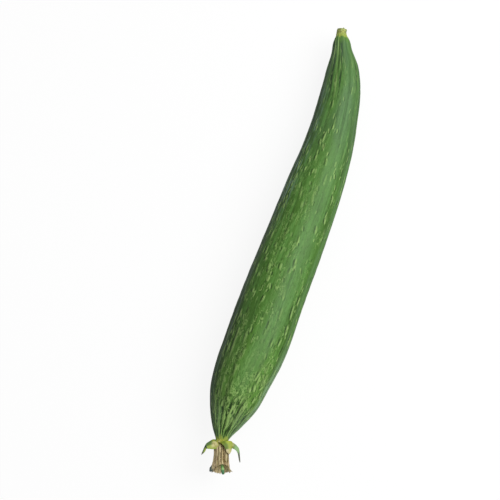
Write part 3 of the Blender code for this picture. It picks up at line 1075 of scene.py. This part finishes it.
def makeCollar(material):
    around, points, where = calyx["around"], [], []
    rows = collarRows()
    sepalTurns = [math.radians(sepal["round"]) for sepal in calyx["sepals"]]
    coarse, fine = calyx["bumps"]
    for here, along, radius, outside in rows:
        share = max(0.0, along / flower["collar"])
        for angle, x, y in ringAngles(around):
            rib = calyx["ribHeight"] * math.cos(calyx["ribs"] * angle + 0.6) * (1 if outside else 0.4)
            swell = sum(max(0.0, math.cos(angle - turn)) ** 8 for turn in sepalTurns)
            swell *= calyx["swell"] * share * (1 if outside else 0.3)
            rough = coarse * wobble(2 * x, 2 * y, along * 0.7, 2.0)
            rough += fine * wobble(5 * x, 5 * y, along * 1.6, 3.0)
            out = radius + (rib + rough + swell) * min(1, radius / 4)
            lift = calyx["lip"] * share * wobble(1.6 * x, 1.6 * y, 3.0, 5.0) if share > 0.8 else 0
            points.append(here @ (Vector((out * x, out * y, lift)) * mm))
            where.append((math.sin(5 * angle) * 0.9, share * 0.12, 0.0))
    none = np.zeros(len(points))
    body = meshObject("calyxCollar", points, tubeFaces(len(rows), around), material, {
        "bladeMap": where, "bladePlace": np.array(points) / mm, "darkSide": none, "pale": none})
    return place(outwards(body), "calyx", "calyx_collar")


def makeSepal(number, material):
    sepal = calyx["sepals"][number]
    reach = sepal["reach"]
    path = calyx[sepal["path"]]
    rootOut, rootAlong, rootHalf = path[0]
    leaning = move(rootOut, 0, rootAlong) @ spin(sepal["slant"], "X") @ spin(-sepal["lean"], "Y")
    rows, columns = calyx["rows"], calyx["columns"]
    grid, across = np.zeros((rows, columns, 3)), np.linspace(-1, 1, columns)
    stations = resample(path, rows)
    for i, (out, along, half) in enumerate(stations):
        share = i / (rows - 1)
        angle = sepal["round"] + sepal["swing"] * (1 - share) ** 3
        middle = move((out - rootOut) * reach, 0, (along - rootAlong) * reach)
        middle = rim @ spin(angle, "Z") @ leaning @ middle
        before, after = stations[max(0, i - 1)], stations[min(rows - 1, i + 1)]
        pitch = math.degrees(math.atan2(after[1] - before[1], after[0] - before[0])) * share
        turned = spin(-pitch, "Y") @ spin(sepal["twist"] * min(1, 0.55 + 2 * share), "X")
        half *= 1 + calyx["unevenWidth"] * wobble(share * 6, number, 0, 3.0)
        half *= math.sqrt(max(0.02, 1 - share**8)) if sepal["blunt"] else min(1, (1 - share) / 0.1 + 0.3)
        for j, side in enumerate(across):
            hollow = calyx["cup"] * side**2 * half / rootHalf
            hug = (rootOut - math.sqrt(max(0.0, rootOut**2 - (side * half) ** 2))) * (1 - share) ** 4
            grow = min(1, 4 * share)
            crumple = calyx["crumple"] * wobble(side * 1.6, share * 7, number, 6.0)
            curl = (crumple + calyx["curl"] * share * side**2) * grow
            torn = calyx["torn"] * wobble(side * 4, number, 2.0, 9.0) * share**12
            keel = calyx["keel"] * math.exp(-((side / 0.16) ** 2)) * (1 - share)
            local = Vector((-hug, side * half, hollow + curl - keel + torn))
            grid[i, j] = middle @ turned @ (local * mm)
    shares = np.linspace(0, 1, rows)[:, None]
    thick = calyx["thickness"] * (1 - 0.7 * np.abs(across[None, :]) ** 2.5) * (1 - 0.55 * shares) * mm
    points = plateSides(grid, gridNormals(grid), thick)
    dry = [max(0.0, (s - 1 + 2 * sepal["dry"]) / (2 * sepal["dry"])) for s in shares[:, 0]]
    where = [(a, s, d) for s, d in zip(shares[:, 0], dry) for a in across]
    body = meshObject(f"sepalBlade{number + 1}", points, plateFaces(rows, columns), material, {
        "bladeMap": where + where, "bladePlace": points / mm,
        "darkSide": np.full(len(points), sepal["darkSide"]), "pale": np.full(len(points), sepal["pale"])})
    return place(outwards(body), "calyx", f"sepal_{number + 1}")


calyxGreen = calyxMaterial()
makeCollar(calyxGreen)
for number in range(len(calyx["sepals"])):
    makeSepal(number, calyxGreen)
print("calyx made")


# the withered petals and the style

petal = {
    # distance from the flower's axis and along it, in mm
    "stations": [
        (3.9, -0.7), (4.5, 1.3), (4.9, 4.0), (4.9, 9), (5.0, 13.5), (5.3, 17), (5.7, 20), (5.8, 22),
    ],
    # round: degrees round the flower, span: degrees that it covers, reach: share of the full length
    # curl: mm that its end turns outwards, spur: mm that a narrow point of its end stands out
    # grey: how far its end has turned grey
    "lobes": [
        {"round": 52, "reach": 0.77, "curl": 0.2, "span": 78, "grey": 0.0, "spur": 0.0},
        {"round": 124, "reach": 0.79, "curl": 0.2, "span": 76, "grey": 0.0, "spur": 0.0},
        {"round": 196, "reach": 0.89, "curl": 2.5, "span": 84, "grey": 1.0, "spur": 0.0},
        {"round": 268, "reach": 0.92, "curl": 0.6, "span": 88, "grey": 0.0, "spur": 0.0},
        {"round": 340, "reach": 0.91, "curl": 0.5, "span": 84, "grey": 0.2, "spur": 2.4},
    ],
    "folds": (0.34, 0.26, 0.16, 0.30),  # mm: the regular ones, two finer sizes, and the crumpled end
    "ragged": (0.06, 0.05),  # shares of the length: broad notches in its end, and small nicks
    "worn": 0.04,  # share of the length that its corners have lost
    "spurPlace": (0.2, 0.05),  # where the spur stands and how wide it is, as shares of the width
    "thickness": 0.5,
    "rows": 90,
    "columns": 64,
    "strands": 8,
    "strandRadius": 0.25,
    "strandSides": 7,
    "strandSteps": 36,
}


def petalMaterial():
    material, tree, shader = newMaterial("driedPetal", 0.8)
    where = attribute(tree, "petalMap")  # mm round the flower, mm along it, 1 outside or 0 inside
    across, along, outside = split(where)[:3]
    height, grey = (attribute(tree, name, "Fac") for name in ("petalFold", "petalGrey"))
    fibres = cloud(where, (0.95, 0.07, 0), 2, 3, 0.6)
    cracks = cloud(where, (1.3, 0.28, 0), 12, 2, 0.5)
    stains = cloud(where, (0.35, 0.16, 0), 7, 3, 0.6)
    tufts = cloud(where, (0.6, 0.24, 0), 31, 2)
    shaded = calc("MAXIMUM", ramp(across, 7.5, 4.5), ramp(across, 26, 29))
    bleached = between(across, 9, 12, 17, 20)
    root = calc("MULTIPLY_ADD", stains, 6, along)
    colour = blend(ramp(fibres, 0.40, 0.56), srgb(172, 148, 98), srgb(226, 204, 160))
    colour = paint(colour, [
        # painted highlight on the raised folds and painted shade in the creases
        (ramp(height, 0.05, 0.55), 0.6, srgb(226, 204, 160)),
        (ramp(height, -0.08, -0.5), 0.85, srgb(92, 76, 36)),
        (ramp(cracks, 0.44, 0.36), 0.85, srgb(84, 70, 30)),
        (ramp(cracks, 0.58, 0.66), 0.85, srgb(236, 226, 176)),
        (ramp(stains, 0.52, 0.66), 0.6, srgb(128, 124, 58)),
        (ramp(tufts, 0.58, 0.64), 0.6, srgb(214, 208, 150)),
        (ramp(tufts, 0.42, 0.36), 0.5, srgb(120, 92, 54)),
        (shaded, 0.3, srgb(120, 98, 60)),
        (bleached, 0.35, srgb(236, 212, 174)),
        # a painted shadow at the petals' root, under the collar's rim
        (ramp(root, 9, 7), 0.8, srgb(112, 98, 42)),
        # the inside painted much lighter: painted light against the shade within the tube
        (calc("SUBTRACT", 1, outside), 0.9, srgb(250, 232, 186)),
        (grey, 1, srgb(84, 98, 92)),
    ])
    feed(shader.inputs["Base Color"], colour)
    addBump(shader, calc("ADD", fibres, cracks), 0.35 * mm, 0.9)
    return material


# the middle surface of one petal, its outward normals, and the height of its folds
def petalGrid(number):
    lobe = petal["lobes"][number]
    reach, curl = lobe["reach"], lobe["curl"]
    turned = rim @ spin(lobe["round"], "Z")
    rows, columns = petal["rows"], petal["columns"]
    root, tip = petal["stations"][0][1], petal["stations"][-1][1]
    grid, folds = np.zeros((rows, columns, 3)), np.zeros((rows, columns))
    even, fine, finest, crumpled = petal["folds"]
    notches, nicks = petal["ragged"]
    spurAt, spurWidth = petal["spurPlace"]
    seed = 2.0 * number + 1.0
    for i, (outRow, alongRow) in enumerate(resample(petal["stations"], rows)):
        share = (alongRow - root) / (tip - root)
        grow = min(1, 4 * share)
        for j, across in enumerate(np.linspace(-0.5, 0.5, columns)):
            ragged = notches * wobble(across * 9, 0.0, seed) + nicks * wobble(across * 26, 1.0, seed)
            ragged -= petal["worn"] * (2 * abs(across)) ** 4
            along = root + (alongRow - root) * reach * (1 + ragged * share**3)
            fold = even * math.cos(tau * 2.5 * across + 0.8 * wobble(across, share * 3, 0, seed))
            fold += fine * wobble(across * 14, share * 1.6, 1.0, seed)
            fold += finest * wobble(across * 30, share * 4, 2.0, seed)
            fold += crumpled * share * wobble(across * 5, share * 6, 3.0, seed)
            spur = lobe["spur"] * share**14 * math.exp(-(((across - spurAt) / spurWidth) ** 2))
            out = outRow + curl * share**5 + spur + fold * grow
            angle = math.radians(lobe["span"] * across * (1 + 0.06 * wobble(share * 5, across, 5.0, seed)))
            grid[i, j] = turned @ (Vector((out * math.cos(angle), out * math.sin(angle), along)) * mm)
            folds[i, j] = fold * grow
    normals = gridNormals(grid)
    inwards = (normals * (grid - np.array(rim.translation))).sum() < 0
    return grid, -normals if inwards else normals, folds


def makePetal(number, material):
    lobe = petal["lobes"][number]
    grid, normals, folds = petalGrid(number)
    rows, columns = folds.shape
    across = np.linspace(-0.5, 0.5, columns)
    shares = np.linspace(0, 1, rows)[:, None]
    thick = petal["thickness"] * (1 - 0.6 * np.abs(2 * across[None, :]) ** 6) * (1 - 0.45 * shares**4) * mm
    rounds = np.radians(lobe["round"] + lobe["span"] * across) * 5
    where = [(r, s * 22, side) for side in (1.0, 0.0) for s in shares[:, 0] for r in rounds]
    greys = lobe["grey"] * np.clip((shares - 0.78) / 0.12, 0, 1) * np.clip((0.38 - across) / 0.14, 0, 1)
    points = plateSides(grid, normals, thick)
    body = meshObject(f"petalLobe{number + 1}", points, plateFaces(rows, columns), material, {
        "petalMap": where, "petalFold": np.tile(folds.ravel(), 2), "petalGrey": np.tile(greys.ravel(), 2)})
    return place(outwards(body), "dried_petal", f"petal_{number + 1}")


def strandTree():
    tree, given, out = geometryTree(
        "petalStrands", {"Strand Radius": "Float", "Sides": "Int", "Material": "Material"})
    path = geo("GeometryNodeMeshToCurve", Mesh=given["Geometry"])
    circle = geo("GeometryNodeCurvePrimitiveCircle", Resolution=given["Sides"],
                 Radius=given["Strand Radius"])
    tube = geo("GeometryNodeCurveToMesh", Curve=path.outputs[0], Profile_Curve=circle.outputs[0],
               Scale=named(tree, "taper"), Fill_Caps=True)
    endTree(tube.outputs[0], given["Material"], out)
    return tree


def strandMaterial():
    material, tree, shader = newMaterial("petalStrand", 0.75)
    tone = attribute(tree, "tone", "Fac")
    colour = blend(ramp(tone, 0.3, 0.7), srgb(104, 84, 40), srgb(232, 222, 172))
    feed(shader.inputs["Base Color"], colour)
    return material


def makeStrands(material):
    rng = np.random.default_rng(12)
    points, edges, tapers, tones = [], [], [], []
    steps = petal["strandSteps"]
    lift = (0.5 * petal["thickness"] + 0.02) * mm
    for number in range(len(petal["lobes"])):
        grid, normals, folds = petalGrid(number)
        rows, columns = folds.shape
        for strand in range(petal["strands"]):
            column = (strand + 0.5 + rng.uniform(-0.35, 0.35)) / petal["strands"] * (columns - 1)
            start, end = rng.uniform(0.0, 0.25), rng.uniform(0.6, 0.97)
            drift, tone, size = rng.uniform(-3, 3), rng.uniform(0, 1) ** 1.6, rng.uniform(0.7, 1.3)
            first = len(points)
            edges += [(first + step, first + step + 1) for step in range(steps - 1)]
            tones += [tone] * steps
            for t in np.linspace(0, 1, steps):
                row = (start + (end - start) * t) * (rows - 1)
                here = min(max(column + drift * t + 1.2 * wobble(t * 4, strand, number), 0), columns - 1)
                i, j = int(row), int(here)
                points.append(grid[i, j] + normals[i, j] * lift)
                tapers.append(size * min(1, 6 * t, 6 * (1 - t)) + 0.05)
    body = meshObject("petalStrands", points, edges, None, {"taper": tapers, "tone": tones})
    runTree(body, strandTree(), {
        "Strand Radius": petal["strandRadius"] * mm, "Sides": petal["strandSides"], "Material": material})
    return place(body, "dried_petal")


style = {
    # along and radius, in mm
    "stations": [
        (-1.0, 1.5), (1, 1.2), (8, 0.9), (14, 0.9), (16, 1.1), (18.5, 1.25), (21, 1.2), (22.4, 0.8),
    ],
    "around": 72,
    "lobes": 3,
    "lobeHeight": 0.16,
    "aside": 1.5,  # mm that its tip leans to the side
}


def stigmaMaterial():
    material, tree, shader = newMaterial("stigmaGreen", 0.65)
    where = attribute(tree, "styleMap")
    along = split(where)[2]
    spots = cloud(where, (1.4, 1.4, 0.9), 3, 3)
    colour = blend(ramp(spots, 0.4, 0.62), srgb(112, 176, 98), srgb(164, 210, 130))
    colour = paint(colour, [
        (ramp(along, 18.5, 20.5), 1, srgb(66, 120, 78)),
        (ramp(along, 14, 9), 1, srgb(120, 104, 60)),
    ])
    feed(shader.inputs["Base Color"], colour)
    addBump(shader, spots, 0.2 * mm, 0.8)
    return material


def makeStyle():
    around, points, where = style["around"], [], []
    rows = resample(style["stations"], 50)
    end = rows[-1][0]
    rows += [(end + 0.12, 0.7), (end + 0.05, 0.3)]
    for along, radius in rows:
        lobe = style["lobeHeight"] * max(0.0, min(1.0, (along - 15) / 3))
        aside = style["aside"] * max(0.0, along / end) ** 2
        for angle, x, y in ringAngles(around):
            cleft = -abs(math.cos(1.5 * angle)) ** 8 * 0.6
            bumps = 0.10 * wobble(3 * x, 3 * y, along * 1.4, 3.0)
            out = radius * (1 + lobe * (math.cos(style["lobes"] * angle) + cleft)) + bumps
            point = Vector((out * x + aside, out * y, along))
            points.append(rim @ (point * mm))
            where.append(point)
    faces = tubeFaces(len(rows), around)
    body = meshObject("styleColumn", points, faces, stigmaMaterial(), {"styleMap": where})
    return place(outwards(body), "stigma", "style")


driedPetal = petalMaterial()
for number in range(len(petal["lobes"])):
    makePetal(number, driedPetal)
makeStrands(strandMaterial())
makeStyle()
print("petals and style made")


# floor, light and camera

studio = {
    "azimuth": 106.33,
    "elevation": 75,
    "distance": 1.1,
    "target": (0.0135, -0.0280, 0.020),
    "lens": 103.6,
    "key": (-0.35, 0.70, 0.95),  # direction that the key light comes from
    "keyDistance": 1.3,
    "keySize": 1.3,
    "keyPower": 15.6,
    "sky": 0.36,
    "floorTone": 0.12,
    "floorGlow": 0.885,
}


def makeFloor():
    side = 3.0
    points = [(-side, -side, 0), (side, -side, 0), (side, side, 0), (-side, side, 0)]
    material, _, shader = newMaterial("paleFloor", 0.9)
    shader.inputs["Base Color"].default_value = (studio["floorTone"],) * 3 + (1,)
    shader.inputs["Specular IOR Level"].default_value = 0.1
    shader.inputs["Emission Color"].default_value = (1, 1, 1, 1)
    shader.inputs["Emission Strength"].default_value = studio["floorGlow"]
    floor = meshObject("floor", points, [(0, 1, 2, 3)], material)
    floor.visible_diffuse = floor.visible_glossy = False  # it throws no light back up


def makeLight():
    world = bpy.data.worlds.new("softSky")
    world.use_nodes = True
    world.node_tree.nodes["Background"].inputs["Color"].default_value = (1.0, 1.0, 1.0, 1)
    world.node_tree.nodes["Background"].inputs["Strength"].default_value = studio["sky"]
    bpy.context.scene.world = world
    lamp = bpy.data.lights.new("key", "AREA")
    lamp.shape = "DISK"
    lamp.size = studio["keySize"]
    lamp.energy = studio["keyPower"]
    key = bpy.data.objects.new("key", lamp)
    direction = Vector(studio["key"]).normalized()
    key.location = Vector(studio["target"]) + direction * studio["keyDistance"]
    key.rotation_euler = direction.to_track_quat("Z", "Y").to_euler()
    bpy.context.scene.collection.objects.link(key)


def makeCamera():
    around, up = math.radians(studio["azimuth"]), math.radians(studio["elevation"])
    back = Vector((math.sin(around) * math.cos(up), -math.cos(around) * math.cos(up), math.sin(up)))
    camera = bpy.data.objects.new("camera", bpy.data.cameras.new("camera"))
    camera.data.lens = studio["lens"]
    camera.data.sensor_width = 36
    camera.data.clip_start = 0.05
    camera.location = Vector(studio["target"]) + back * studio["distance"]
    camera.rotation_euler = back.to_track_quat("Z", "Y").to_euler()
    bpy.context.scene.collection.objects.link(camera)
    bpy.context.scene.camera = camera
    bpy.context.scene.view_settings.view_transform = "Standard"


makeFloor()
makeLight()
makeCamera()
print("studio made")
